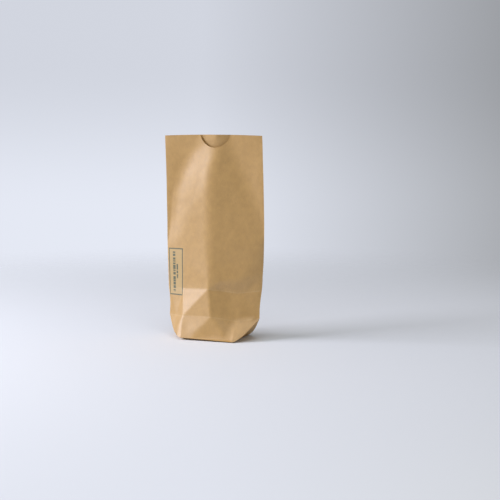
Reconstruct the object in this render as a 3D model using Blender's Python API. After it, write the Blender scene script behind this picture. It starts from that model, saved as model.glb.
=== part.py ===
"""A paper lunch bag standing open: one sheet glued into a flat tube and folded into a six-sided base."""

import math

import bmesh
import bpy
import numpy as np
from mathutils import Vector
from mathutils.geometry import delaunay_2d_cdt

# Sizes of the flat sheet, in metres.
FLAT_WIDTH = 0.130
PLY_HEIGHT = 0.259
BASE_DEPTH = 0.060
PAPER = 0.00012

# The thumb notch in the front ply is part of a circle.
NOTCH_RADIUS = 0.021
NOTCH_DEPTH = 0.0158
NOTCH_SHIFT = 0.003
NOTCH_STEPS = 12

# The glued lap down the back ply: where its inner edge shows, and how wide the two layers overlap.
SEAM_EDGE = 0.001
SEAM_LAP = 0.012
SEAM_EASE = 0.003
STEP_WIDTH = 0.0001

# The two base flaps, each glued over the base.
FLAP_TAPER = 0.0108
FLAP_PAST_MIDDLE = 0.008

# Where the end triangles of the base have folded up to.
TIP_OUT = 0.057
TIP_UP = 0.025

# The mouth stands almost level, a little higher in its middle.
MOUTH_LEVEL = 0.2538
MOUTH_CROWN = 0.0012

# Heights of the two creases across the front, measured on the paper.
LOW_CREASE = BASE_DEPTH / 2
HIGH_CREASE = 0.065

# How far the two side folds stand from the middle plane: share of the height, left, right.
SIDE_SWAY = (
    (0.00, 0.0, 0.0),
    (0.12, -0.002, -0.002),
    (0.25, -0.001, 0.001),
    (0.39, 0.001, 0.004),
    (0.58, 0.002, 0.006),
    (0.77, 0.000, 0.003),
    (1.00, -0.003, -0.003),
)

# Each side fold is slightly rounded, so a ply leaves it at once.
FOLD_SWELL = 0.0008
FOLD_REACH = 0.004

# How far the creases are rounded, near the base and higher up.
SOFT_LOW = 0.0025
SOFT_HIGH = 0.009

HALF_WIDTH = FLAT_WIDTH / 2
HALF_BASE = BASE_DEPTH / 2
CORNER = HALF_WIDTH - HALF_BASE

# Crease lines as points: share of the half width, height on the paper, distance out from the middle plane.
RIDGE = (
    (-0.03, HIGH_CREASE, 0.0260),
    (-0.03, 0.30 * PLY_HEIGHT, 0.0258),
    (-0.05, 0.39 * PLY_HEIGHT, 0.0235),
    (-0.05, 0.58 * PLY_HEIGHT, 0.0190),
    (0.00, 0.77 * PLY_HEIGHT, 0.0135),
    (0.05, 0.94 * PLY_HEIGHT, 0.0090),
)
LEFT_FACET = (
    (-1.00, 0.46 * PLY_HEIGHT, 0.0),
    (-0.92, 0.54 * PLY_HEIGHT, 0.0012),
    (-0.77, 0.73 * PLY_HEIGHT, 0.0018),
    (-0.64, 0.83 * PLY_HEIGHT, 0.0022),
    (-0.52, 0.89 * PLY_HEIGHT, 0.0027),
    (-0.28, 0.95 * PLY_HEIGHT, 0.0040),
)
RIGHT_FACET = (
    (1.00, 0.53 * PLY_HEIGHT, 0.0),
    (0.89, 0.61 * PLY_HEIGHT, 0.0014),
    (0.76, 0.71 * PLY_HEIGHT, 0.0020),
    (0.51, 0.83 * PLY_HEIGHT, 0.0030),
    (0.36, 0.94 * PLY_HEIGHT, 0.0042),
)
FRONT_HIGH = (
    (-1.00, HIGH_CREASE, 0.0),
    (-0.50, HIGH_CREASE, 0.0130),
    (-0.03, HIGH_CREASE, 0.0260),
    (0.31, HIGH_CREASE, 0.0210),
    (0.62, HIGH_CREASE, 0.0125),
    (1.00, HIGH_CREASE, 0.0),
)
FRONT_BULGE = (
    (-0.03, 0.30 * PLY_HEIGHT, 0.0258),
    (0.20, 0.295 * PLY_HEIGHT, 0.0235),
    (0.58, 0.33 * PLY_HEIGHT, 0.0155),
    (1.00, 0.38 * PLY_HEIGHT, 0.0),
)
FRONT_LOW = (
    (-1.00, LOW_CREASE, 0.0),
    (-0.46, LOW_CREASE, 0.0225),
    (0.15, LOW_CREASE, 0.0230),
    (0.54, LOW_CREASE, 0.0185),
    (1.00, LOW_CREASE, 0.0),
)
LEFT_DIAGONAL = (
    (-0.03, HIGH_CREASE, 0.0260),
    (-0.46, LOW_CREASE, 0.0225),
    (-0.871, 0.72 * HALF_BASE, 0.28 * HALF_BASE),
)
LOWER_DIAGONAL = (
    (0.15, LOW_CREASE, 0.0230),
    (-0.20, 0.0, HALF_BASE),
)
FRONT_MOUTH = (
    (-1.00, PLY_HEIGHT, 0.0),
    (-0.28, PLY_HEIGHT, 0.0036),
    (0.05, PLY_HEIGHT, 0.0078),
    (0.36, PLY_HEIGHT, 0.0038),
    (1.00, PLY_HEIGHT, 0.0),
)
BACK_MIDDLE = (
    (0.00, 0.0, HALF_BASE),
    (0.00, LOW_CREASE, 0.0285),
    (0.00, HIGH_CREASE, 0.0245),
    (0.00, 0.50 * PLY_HEIGHT, 0.0165),
    (0.00, 0.77 * PLY_HEIGHT, 0.0095),
    (0.00, PLY_HEIGHT, 0.0060),
)
BACK_SHOULDER = (
    (CORNER / HALF_WIDTH, 0.0, HALF_BASE),
    (CORNER / HALF_WIDTH, LOW_CREASE, 0.0240),
    (0.52, HIGH_CREASE, 0.0165),
    (0.50, 0.50 * PLY_HEIGHT, 0.0090),
    (0.50, 0.77 * PLY_HEIGHT, 0.0050),
    (0.50, PLY_HEIGHT, 0.0034),
)
BACK_MOUTH = (
    (-1.00, PLY_HEIGHT, 0.0),
    (-0.50, PLY_HEIGHT, 0.0034),
    (0.00, PLY_HEIGHT, 0.0060),
    (0.50, PLY_HEIGHT, 0.0034),
    (1.00, PLY_HEIGHT, 0.0),
)

FRONT_LINES = (
    RIDGE,
    LEFT_FACET,
    RIGHT_FACET,
    FRONT_HIGH,
    FRONT_BULGE,
    FRONT_LOW,
    LEFT_DIAGONAL,
    LOWER_DIAGONAL,
    FRONT_MOUTH,
)
BACK_LINES = (
    BACK_MIDDLE,
    BACK_SHOULDER,
    tuple((-across, up, out) for across, up, out in BACK_SHOULDER),
    BACK_MOUTH,
)

# How finely the sheet is divided, and how high above the tips the sides reach their own width.
TIP_EASE = 0.04
LEVEL_ROWS = 8
FOLD_ROWS = 4
MOUTH_ROWS = 5
MOUTH_ZONE = 0.025


def clear_scene():
    for found in list(bpy.data.objects):
        bpy.data.objects.remove(found, do_unlink=True)


def outline():
    """The six corners of one ply as it lies flat, with the base folds as its lower sides."""
    return (
        ((-CORNER / HALF_WIDTH, 0.0, HALF_BASE), (CORNER / HALF_WIDTH, 0.0, HALF_BASE)),
        ((CORNER / HALF_WIDTH, 0.0, HALF_BASE), (1.0, LOW_CREASE, 0.0)),
        ((1.0, LOW_CREASE, 0.0), (1.0, PLY_HEIGHT, 0.0)),
        ((-1.0, LOW_CREASE, 0.0), (-1.0, PLY_HEIGHT, 0.0)),
        ((-CORNER / HALF_WIDTH, 0.0, HALF_BASE), (-1.0, LOW_CREASE, 0.0)),
    )


class CreaseNet:
    """Flat facets between crease lines, giving how far a ply stands out at any point of the flat paper."""

    def __init__(self, lines):
        points = []
        outs = []
        edges = []
        seen = {}
        for line in lines:
            last = None
            for across, up, out in line:
                key = (round(across, 4), round(up, 6))
                if key not in seen:
                    seen[key] = len(points)
                    points.append(Vector((across * HALF_WIDTH, up)))
                    outs.append(out)
                if last is not None and last != seen[key]:
                    edges.append((last, seen[key]))
                last = seen[key]
        made, _, faces, origins, _, _ = delaunay_2d_cdt(points, edges, [], 0, 1e-7, True)
        self.at = np.array([list(point) for point in made])
        self.out = np.array([self.height_of(i, made, origins, points, outs) for i in range(len(made))])
        self.faces = np.array([list(face) for face in faces])

    def height_of(self, index, made, origins, points, outs):
        if origins[index]:
            return outs[origins[index][0]]
        near = min(range(len(points)), key=lambda i: (points[i] - made[index]).length)
        return outs[near]

    def sample(self, across, up):
        """Height of the net at points given as two arrays."""
        a = self.at[self.faces[:, 0]]
        b = self.at[self.faces[:, 1]] - a
        c = self.at[self.faces[:, 2]] - a
        area = b[:, 0] * c[:, 1] - b[:, 1] * c[:, 0]
        area = np.where(np.abs(area) < 1e-14, 1e-14, area)
        x = across[:, None] - a[None, :, 0]
        y = up[:, None] - a[None, :, 1]
        s = (x * c[:, 1] - y * c[:, 0]) / area
        t = (y * b[:, 0] - x * b[:, 1]) / area
        inside = np.minimum(np.minimum(s, t), 1 - s - t)
        best = inside.argmax(axis=1)
        rows = np.arange(len(across))
        s = s[rows, best]
        t = t[rows, best]
        corners = self.out[self.faces[best]]
        return corners[:, 0] * (1 - s - t) + corners[:, 1] * s + corners[:, 2] * t

    def soft(self, across, up, top):
        """The same height averaged over a small disc, so that creases are rounded."""
        side = HALF_WIDTH - np.abs(across)
        fold = (up - (np.abs(across) - CORNER)) / math.sqrt(2)
        room = np.minimum(np.minimum(side, fold), np.minimum(up, top - up))
        far = np.clip((np.abs(up - (LOW_CREASE + HIGH_CREASE) / 2) - 0.02) / 0.05, 0.0, 1.0)
        reach = np.clip(room, 0.0, SOFT_LOW + (SOFT_HIGH - SOFT_LOW) * far)
        total = self.sample(across, up)
        count = 1
        for ring, spokes in ((0.45, 8), (0.9, 12)):
            for k in range(spokes):
                turn = 2 * math.pi * (k + 0.5 * (spokes == 12)) / spokes
                total = total + self.sample(
                    across + reach * ring * math.cos(turn), up + reach * ring * math.sin(turn)
                )
                count += 1
        return total / count


def sway(across, up):
    """Where the middle plane of the bag stands, front to back."""
    table = np.array(SIDE_SWAY)
    left = np.interp(up / PLY_HEIGHT, table[:, 0], table[:, 1])
    right = np.interp(up / PLY_HEIGHT, table[:, 0], table[:, 2])
    share = (across / HALF_WIDTH + 1) / 2
    return left * (1 - share) + right * share


def columns():
    """Places across the ply at its full width, with the hinges, the notch and the seam each on a column."""
    reach = math.sqrt(NOTCH_RADIUS**2 - (NOTCH_RADIUS - NOTCH_DEPTH) ** 2)
    widest = math.asin(reach / NOTCH_RADIUS)
    turns = np.linspace(-widest, widest, NOTCH_STEPS + 1)
    notch = NOTCH_SHIFT + NOTCH_RADIUS * np.sin(turns)
    seam = (
        SEAM_EDGE - SEAM_LAP - STEP_WIDTH,
        SEAM_EDGE - SEAM_LAP,
        SEAM_EDGE,
        SEAM_EDGE + STEP_WIDTH,
        SEAM_EDGE + SEAM_EASE,
    )
    gap = CORNER - notch.max()
    inner = [-CORNER, -CORNER + gap / 2, CORNER - gap / 2, CORNER]
    outer = CORNER + HALF_BASE * np.array([0.2, 0.4, 0.6, 0.75, 0.88, 1.0])
    found = sorted([*notch, *seam, *inner, *outer, *(-outer)])
    kept = [found[0]]
    for place in found[1:]:
        if place - kept[-1] > 0.6 * STEP_WIDTH:
            kept.append(place)
    return np.array(kept)


def rows():
    """Heights on the paper: the base fold, the two creases, the plain part and the mouth."""
    fold = np.linspace(0.0, LOW_CREASE, FOLD_ROWS + 1)
    panel = np.linspace(LOW_CREASE, HIGH_CREASE, 5)[1:]
    bulge = np.array([0.29, 0.32, 0.365]) * PLY_HEIGHT
    plain = np.linspace(0.42 * PLY_HEIGHT, PLY_HEIGHT - MOUTH_ZONE, LEVEL_ROWS)
    mouth = np.linspace(PLY_HEIGHT - MOUTH_ZONE, PLY_HEIGHT, MOUTH_ROWS + 1)[1:]
    return np.concatenate([fold, panel, bulge, plain, mouth])


def narrowed(places, up):
    """The columns at a height below the side folds, where the base folds cut the ply's corners off."""
    half = CORNER + min(up, HALF_BASE)
    beyond = np.clip(np.abs(places) - CORNER, 0.0, None)
    share = beyond / HALF_BASE
    return np.sign(places) * (np.minimum(np.abs(places), CORNER) + share * (half - CORNER))


def notch_top(places):
    """Height of the ply's upper edge at each column, with the notch cut out."""
    off = np.abs(places - NOTCH_SHIFT)
    reach = math.sqrt(NOTCH_RADIUS**2 - (NOTCH_RADIUS - NOTCH_DEPTH) ** 2)
    inside = np.clip(NOTCH_RADIUS**2 - off**2, 0.0, None)
    cut = np.where(off < reach, np.sqrt(inside) - (NOTCH_RADIUS - NOTCH_DEPTH), 0.0)
    return PLY_HEIGHT - cut


def flat_grid(top):
    """The ply's grid on the flat paper: across and up, one row of the arrays for each height."""
    places = columns()
    across = []
    up = []
    for level in rows():
        share = np.clip((level - (PLY_HEIGHT - MOUTH_ZONE)) / MOUTH_ZONE, 0.0, 1.0)
        across.append(narrowed(places, level))
        up.append(level - share * (PLY_HEIGHT - top))
    return np.array(across), np.array(up)


def middle_column():
    return int(np.abs(columns()).argmin())


def shaped(net, facing, top):
    """Flat grid, x and y of a ply standing up. Its width on the paper is kept as it bends."""
    across, up = flat_grid(top)
    out = net.soft(across.ravel(), up.ravel(), PLY_HEIGHT).reshape(across.shape)
    to_side = np.clip(HALF_WIDTH - np.abs(across), 0.0, None)
    above = np.clip((up - LOW_CREASE) / HALF_BASE, 0.0, 1.0)
    out = out + FOLD_SWELL * (1 - np.exp(-to_side / FOLD_REACH)) * above
    y = sway(across, up) + facing * out
    run = np.sqrt(np.clip(np.diff(across, axis=1) ** 2 - np.diff(y, axis=1) ** 2, 0.0, None))
    x = np.concatenate([np.zeros((len(y), 1)), np.cumsum(run, axis=1)], axis=1)
    middle = middle_column()
    x = x - x[:, middle : middle + 1] + across[:, middle : middle + 1]
    return up, x, y


def climbed(up, x, y, level):
    """Heights above the table: each column climbs its own paper length from the folds of the base."""
    side = np.clip((np.abs(columns()) - CORNER) / HALF_BASE, 0.0, 1.0)
    z = np.zeros_like(up)
    for k in range(1, len(level)):
        rise = np.sqrt(np.clip((up[k] - up[k - 1]) ** 2 - (y[k] - y[k - 1]) ** 2, 0.0, None))
        if level[k] > LOW_CREASE + 1e-9:
            z[k] = z[k - 1] + rise
            continue
        part = level[k] / LOW_CREASE
        flank = side * (TIP_OUT - CORNER) * part
        z[k] = (1 - side) * (z[k - 1] + rise) + side * TIP_UP * part
        x[k] = np.sign(x[k]) * (np.minimum(np.abs(x[k]), CORNER) + flank)
    return z


def levelled(up, z, level):
    """The same heights with the mouth level. The paper's small buckles take up the difference."""
    low = int(np.abs(level - LOW_CREASE).argmin())
    crown = MOUTH_CROWN * (1 - (columns() / HALF_WIDTH) ** 2)
    reach = z[-1] + (PLY_HEIGHT - up[-1]) - z[low]
    share = (MOUTH_LEVEL + crown - z[low]) / reach
    z[low:] = z[low] + (z[low:] - z[low]) * share
    return z


def join_sides(front, back, level):
    """Bring both plies to one side fold: the mean of their two edges, starting from the tips."""
    places = columns()
    middle = middle_column()
    halves = ((0, slice(None, middle)), (-1, slice(middle + 1, None)))
    for k in range(len(level)):
        if level[k] <= LOW_CREASE + 1e-9:
            continue
        ease = min(1.0, (level[k] - LOW_CREASE) / TIP_EASE)
        for end, half in halves:
            mean = (front[k, end] + back[k, end]) / 2
            tip = math.copysign(TIP_OUT, mean[0])
            mean[0] = tip + (mean[0] - tip) * ease
            weight = np.abs(places[half]) / HALF_WIDTH
            for ply in (front, back):
                stretch = mean[0] / ply[k, end, 0] - 1
                ply[k, half, 2] += (mean[2] - ply[k, end, 2]) * weight**3
                ply[k, half, 0] *= 1 + stretch * weight
                ply[k, end] = mean


def plies():
    """Front and back grids of points, joined exactly along both side folds and at the tips."""
    front_net = CreaseNet((*outline(), *FRONT_LINES))
    back_net = CreaseNet((*outline(), *BACK_LINES))
    level = rows()
    notched = notch_top(columns())
    plain = np.full(len(notched), PLY_HEIGHT)
    grids = []
    for net, facing, top in ((front_net, -1, notched), (back_net, 1, plain)):
        up, x, y = shaped(net, facing, top)
        z = levelled(up, climbed(up, x, y, level), level)
        grids.append(np.stack([x, y, z], axis=2))
    front, back = grids
    join_sides(front, back, level)
    return front, back


def base_grid(front, back):
    """Rows of the base from its front fold to its back fold, sharing every edge point with the plies."""
    places = columns()
    share = np.clip((np.abs(places) - CORNER) / HALF_BASE, 0.0, 1.0)[:, None]
    grid = []
    fold = [front[k] for k in range(FOLD_ROWS + 1)] + [back[k] for k in range(FOLD_ROWS - 1, -1, -1)]
    for k, ply in enumerate(fold):
        depth = -HALF_BASE + BASE_DEPTH * k / (2 * FOLD_ROWS)
        hinge = np.stack(
            [np.clip(places, -CORNER, CORNER), np.full(len(places), depth), np.zeros(len(places))], axis=1
        )
        ends = np.where(places[:, None] < 0, ply[0][None, :], ply[-1][None, :])
        row = hinge + (ends - hinge) * share
        grid.append(row)
    grid[0] = front[0].copy()
    grid[-1] = back[0].copy()
    return np.array(grid)


def skin():
    """The outer surface: points, faces, and for each point how the lap of the seam moves its two sides."""
    front, back = plies()
    base = base_grid(front, back)
    points = []
    moves = []
    index = {}

    def point(at, move):
        key = tuple(round(float(c), 7) for c in at)
        if key not in index:
            index[key] = len(points)
            points.append([float(c) for c in at])
            moves.append(move)
        return index[key]

    faces = []

    def surface(grid, turned, moved):
        ids = [[point(grid[k, i], moved(k, i)) for i in range(grid.shape[1])] for k in range(grid.shape[0])]
        for k in range(len(ids) - 1):
            for i in range(len(ids[0]) - 1):
                ring = [ids[k][i], ids[k][i + 1], ids[k + 1][i + 1], ids[k + 1][i]]
                ring = list(dict.fromkeys(ring))
                if len(ring) > 2:
                    faces.append(ring[::-1] if turned else ring)
        return ids

    places = columns()

    def lap(k, i):
        """How far the outer and the inner side stand out at a column of the back ply, in paper thicknesses."""
        fade = min(1.0, k / FOLD_ROWS)
        place = places[i]
        slack = STEP_WIDTH / 4
        ramp = min(1.0, max(0.0, 1 - (place - SEAM_EDGE) / SEAM_EASE))
        outer = 0.0
        inner = -1.0
        if SEAM_EDGE - SEAM_LAP - slack < place <= SEAM_EDGE + slack:
            outer = 1.0
        elif place > SEAM_EDGE + slack:
            outer = ramp
            inner = ramp - 1.0
        return outer * fade, -1.0 + (inner + 1.0) * fade

    def plain(k, i):
        """One thickness of paper, measured inward."""
        return 0.0, -1.0

    front_ids = surface(front, False, plain)
    back_ids = surface(back, True, lap)
    surface(base, True, plain)
    rim = front_ids[-1] + back_ids[-1][-2:0:-1]
    return np.array(points), faces, np.array(moves), rim


def miters(points, faces):
    """For each point the step that moves every face around it outward by one."""
    matrix = np.zeros((len(points), 3, 3))
    total = np.zeros((len(points), 3))
    for face in faces:
        ring = points[face]
        normal = np.zeros(3)
        for k in range(len(face)):
            a = ring[k] - ring[0]
            b = ring[(k + 1) % len(face)] - ring[0]
            normal += np.cross(a, b)
        normal /= np.linalg.norm(normal)
        for k, corner in enumerate(face):
            before = ring[k - 1] - ring[k]
            after = ring[(k + 1) % len(face)] - ring[k]
            cosine = before @ after / (np.linalg.norm(before) * np.linalg.norm(after))
            angle = math.acos(max(-1.0, min(1.0, cosine)))
            matrix[corner] += angle * np.outer(normal, normal)
            total[corner] += angle * normal
    steps = np.zeros_like(points)
    for k in range(len(points)):
        steady = matrix[k] + np.eye(3) * 0.004 * np.trace(matrix[k])
        steps[k] = np.linalg.solve(steady, total[k])
    return steps


def paper_shell():
    """The sheet given its thickness: outer side, inner side and the cut edge round the mouth."""
    points, faces, moves, rim = skin()
    points[:, 2] += 2 * PAPER
    steps = miters(points, faces)
    outer = points + steps * moves[:, :1] * PAPER
    inner = points + steps * moves[:, 1:] * PAPER
    mesh = bmesh.new()
    outside = [mesh.verts.new(at) for at in outer]
    inside = [mesh.verts.new(at) for at in inner]
    for face in faces:
        mesh.faces.new([outside[k] for k in face])
        mesh.faces.new([inside[k] for k in reversed(face)])
    for k, a in enumerate(rim):
        b = rim[(k + 1) % len(rim)]
        mesh.faces.new([outside[b], outside[a], inside[a], inside[b]])
    bmesh.ops.recalc_face_normals(mesh, faces=mesh.faces)
    bmesh.ops.triangulate(mesh, faces=mesh.faces)
    return mesh


def flap(hinge, end, low):
    """A base flap seen from below: its fold, the taper at both corners and the straight cut sides."""
    toward = math.copysign(1.0, end - hinge)
    wide = CORNER - PAPER
    narrow = CORNER - FLAP_TAPER
    turn = hinge + toward * FLAP_TAPER
    corners = (
        (-wide, hinge),
        (wide, hinge),
        (narrow, turn),
        (narrow, end),
        (-narrow, end),
        (-narrow, turn),
    )
    mesh = bmesh.new()
    high = 2.4 * PAPER
    lower = [mesh.verts.new((x, y, low)) for x, y in corners]
    upper = [mesh.verts.new((x, y, high)) for x, y in corners]
    mesh.faces.new(lower)
    mesh.faces.new(upper)
    for k in range(len(corners)):
        n = (k + 1) % len(corners)
        mesh.faces.new([lower[k], lower[n], upper[n], upper[k]])
    bmesh.ops.recalc_face_normals(mesh, faces=mesh.faces)
    return mesh


def kraft_paper():
    """Brown, matt and slightly rough, as uncoated kraft paper is."""
    made = bpy.data.materials.new("kraft_paper")
    made.use_nodes = True
    shader = made.node_tree.nodes["Principled BSDF"]
    shader.inputs["Base Color"].default_value = (0.56, 0.36, 0.17, 1.0)
    shader.inputs["Roughness"].default_value = 0.85
    shader.inputs["Metallic"].default_value = 0.0
    return made


def placed(name, mesh):
    data = bpy.data.meshes.new(name)
    mesh.to_mesh(data)
    mesh.free()
    made = bpy.data.objects.new(name, data)
    bpy.context.scene.collection.objects.link(made)
    return made


def build():
    clear_scene()
    bag = placed("paper_bag", paper_shell())
    bag.data.materials.append(kraft_paper())
    inner_flap = placed("inner_flap_shape", flap(-HALF_BASE + PAPER, FLAP_PAST_MIDDLE, PAPER))
    outer_flap = placed("outer_flap_shape", flap(HALF_BASE - PAPER, -FLAP_PAST_MIDDLE, 0.0))
    for extra in (inner_flap, outer_flap):
        join = bag.modifiers.new(extra.name, "BOOLEAN")
        join.operation = "UNION"
        join.solver = "EXACT"
        join.object = extra
        extra.hide_render = True
        extra.display_type = "WIRE"


build()
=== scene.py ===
# %% [markdown]
# A brown paper lunch bag, standing open.
#
# The real bag is one sheet of kraft paper. It is glued into a flat tube with a
# lap down the back, and the lower end of the tube is folded into a six-sided
# base. This notebook loads the plain model of the bag, and then makes the paper
# as the camera sees it: soft creases, a thumb notch, small dents and fibres.

# %% Load the plain model
import math

import bpy
import numpy as np
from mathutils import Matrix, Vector, noise
from mathutils.geometry import delaunay_2d_cdt


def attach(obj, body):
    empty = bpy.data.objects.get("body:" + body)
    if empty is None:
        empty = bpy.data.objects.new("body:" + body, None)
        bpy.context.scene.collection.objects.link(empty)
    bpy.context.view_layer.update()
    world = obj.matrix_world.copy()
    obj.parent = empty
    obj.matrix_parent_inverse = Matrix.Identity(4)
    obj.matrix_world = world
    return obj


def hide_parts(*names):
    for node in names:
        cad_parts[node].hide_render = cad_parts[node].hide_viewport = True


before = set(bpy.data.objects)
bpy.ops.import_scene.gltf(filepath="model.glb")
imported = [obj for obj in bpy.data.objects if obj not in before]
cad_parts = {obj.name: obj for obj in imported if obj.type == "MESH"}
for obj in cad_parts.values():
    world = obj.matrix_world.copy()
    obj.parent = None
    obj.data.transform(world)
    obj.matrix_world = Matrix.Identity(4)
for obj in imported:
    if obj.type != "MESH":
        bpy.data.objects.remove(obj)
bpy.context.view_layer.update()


def deselect():
    """Operators act on all that is selected, so each step starts with nothing selected."""
    if bpy.context.object and bpy.context.object.mode != "OBJECT":
        bpy.ops.object.mode_set(mode="OBJECT")
    bpy.ops.object.select_all(action="DESELECT")


def pick(piece):
    """Select one object alone and make it the active one."""
    deselect()
    piece.select_set(True)
    bpy.context.view_layer.objects.active = piece

# %% [markdown]
# The camera comes first, so that every later step can be compared with the
# photograph. It stands a little to the right of the bag's front and looks down
# only slightly. A long lens keeps the bag's sides almost parallel. The camera
# could be turned by trial, but it is placed from two angles and a distance.

# %% The camera
CAMERA_TURN = math.radians(18.65)
CAMERA_RISE = math.radians(6.34)
CAMERA_DISTANCE = 1.4414
CAMERA_LENS = 82.8
AIM_HEIGHT = 0.135
AIM_RIGHT = 0.0451
AIM_UP = -0.0238


def direction(turn, rise):
    """A unit step away from the bag: turned to the right from its front, and raised."""
    return Vector(
        (math.sin(turn) * math.cos(rise), -math.cos(turn) * math.cos(rise), math.sin(rise))
    )


to_camera = direction(CAMERA_TURN, CAMERA_RISE)
view_right = Vector((math.cos(CAMERA_TURN), math.sin(CAMERA_TURN), 0.0))
view_up = to_camera.cross(view_right)
aim = Vector((0.0, 0.0, AIM_HEIGHT)) + view_right * AIM_RIGHT + view_up * AIM_UP

bpy.ops.object.camera_add(location=aim + to_camera * CAMERA_DISTANCE)
camera = bpy.context.object
camera.name = "camera"
camera.rotation_euler = to_camera.to_track_quat("Z", "Y").to_euler()
camera.data.lens = CAMERA_LENS
bpy.context.scene.camera = camera
print("camera at", [round(c, 3) for c in camera.location])

# %% [markdown]
# The bag is folded from flat paper, so its shape is easiest to say on the flat
# sheet. These sizes were fitted to the photograph once more after the plain
# model was made, so they differ from its sizes by a few millimetres. Each ply is
# 130.5 mm wide and 256.5 mm high, and a thumb notch is cut from the mouth of the
# front ply. Two creases run across both plies, above the base.

# %% Sizes of the sheet
FLAT_WIDTH = 0.1305
PLY_HEIGHT = 0.2565
BASE_DEPTH = 0.061
PAPER = 0.00012

NOTCH_RADIUS = 0.021
NOTCH_DEPTH = 0.0158
NOTCH_SHIFT = 0.003

SEAM_EDGE = 0.001
SEAM_LAP = 0.012

TIP_OUT = 0.0602
TIP_UP = 0.0275
TIP_CURL = 1.55
EDGE_CURL = 1.45
EDGE_SPREAD = 1.04
MOUTH_LEVEL = 0.2538
MOUTH_CROWN = 0.0012
LOW_CREASE = BASE_DEPTH / 2
HIGH_CREASE = 0.065

HALF_WIDTH = FLAT_WIDTH / 2
HALF_BASE = BASE_DEPTH / 2
CORNER = HALF_WIDTH - HALF_BASE

print("flat tube", FLAT_WIDTH, "by", PLY_HEIGHT, "m")

# %% [markdown]
# Paper bends into flat facets that meet at creases. Each crease is written as a
# line of points, and each point has three numbers: how far across the ply, from
# -1 at the left fold to 1 at the right one, how high up the paper, and how far it
# stands out from the middle of the bag. The outline comes first: the edge of the
# base, its 45 degree folds, and the two side folds. A cloth simulation could
# shape the bag too, but it gives soft wrinkles in places of its own. Written
# creases lie where the photograph shows them.

# %% The outline of a ply
CUT_PART = 0.45
EDGE_PARTS = (0.0, 0.2, CUT_PART, 0.65, 0.8, 1.0)
HINGE = CORNER / HALF_WIDTH


def fold_edge(side, part):
    """A point of the base's 45 degree fold. It stays forward near the base, then turns back."""
    across = side * (CORNER + part * HALF_BASE) / HALF_WIDTH
    return across, part * LOW_CREASE, HALF_BASE * (1 - part**EDGE_CURL)


OUTLINE = (
    ((-HINGE, 0.0, HALF_BASE), (HINGE, 0.0, HALF_BASE)),
    ((1.0, LOW_CREASE, 0.0), (1.0, PLY_HEIGHT, 0.0)),
    ((-1.0, LOW_CREASE, 0.0), (-1.0, PLY_HEIGHT, 0.0)),
    tuple(fold_edge(1, part) for part in EDGE_PARTS),
    tuple(fold_edge(-1, part) for part in EDGE_PARTS),
)
print(len(OUTLINE), "lines round a ply")

# %% [markdown]
# Where creases cross, they share a point, so those points have names. Above the
# upper crease the front has one soft ridge down its middle, a swelling to the
# left of it, a low bulge out to the right fold, and a flat facet at each upper
# corner.

# %% The front above the upper crease
HIGH_MIDDLE = (-0.03, HIGH_CREASE, 0.0175)
HIGH_LEFT = (-0.62, HIGH_CREASE, 0.0078)
BULGE_START = (-0.03, 0.30 * PLY_HEIGHT, 0.0170)

RIDGE = (
    HIGH_MIDDLE,
    BULGE_START,
    (-0.04, 0.39 * PLY_HEIGHT, 0.0150),
    (-0.06, 0.58 * PLY_HEIGHT, 0.0115),
    (-0.05, 0.80 * PLY_HEIGHT, 0.0080),
    (0.08, 0.92 * PLY_HEIGHT, 0.0041),
)
LEFT_FACET = (
    (-1.00, 0.46 * PLY_HEIGHT, 0.0),
    (-0.92, 0.57 * PLY_HEIGHT, -0.0010),
    (-0.79, 0.75 * PLY_HEIGHT, -0.0021),
    (-0.64, 0.84 * PLY_HEIGHT, -0.0028),
    (-0.52, 0.89 * PLY_HEIGHT, -0.0030),
    (-0.28, 0.955 * PLY_HEIGHT, -0.0014),
)
RIGHT_FACET = (
    (1.00, 0.50 * PLY_HEIGHT, 0.0),
    (0.86, 0.66 * PLY_HEIGHT, -0.0014),
    (0.68, 0.78 * PLY_HEIGHT, -0.0024),
    (0.46, 0.87 * PLY_HEIGHT, -0.0020),
    (0.38, 0.94 * PLY_HEIGHT, -0.0008),
)
LEFT_SWELL = (
    (-0.60, 0.58 * PLY_HEIGHT, 0.0054),
    (-0.61, 0.39 * PLY_HEIGHT, 0.0075),
    HIGH_LEFT,
)
FRONT_BULGE = (
    BULGE_START,
    (0.20, 0.295 * PLY_HEIGHT, 0.0145),
    (0.58, 0.31 * PLY_HEIGHT, 0.0088),
    (1.00, 0.325 * PLY_HEIGHT, 0.0),
)
FRONT_MOUTH = (
    (-1.00, PLY_HEIGHT, 0.0),
    (-0.28, PLY_HEIGHT, -0.0010),
    (0.08, PLY_HEIGHT, 0.0034),
    (0.38, PLY_HEIGHT, -0.0004),
    (1.00, PLY_HEIGHT, 0.0),
)
print("the ridge stands out", RIDGE[0][2] * 1000, "mm at its foot")

# %% [markdown]
# Between the upper crease and the base the folds lean to the left. One runs from
# the foot of the ridge down to the left corner, a shorter one lies beside it, and
# one runs from the middle of the lower crease to the edge of the base.

# %% The front below the upper crease
LOW_MIDDLE = (0.06, LOW_CREASE, 0.0224)
LOW_LEFT = (-0.53, LOW_CREASE, 0.0190)
LOW_FAR_LEFT = (-0.78, LOW_CREASE, 0.0088)

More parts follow.
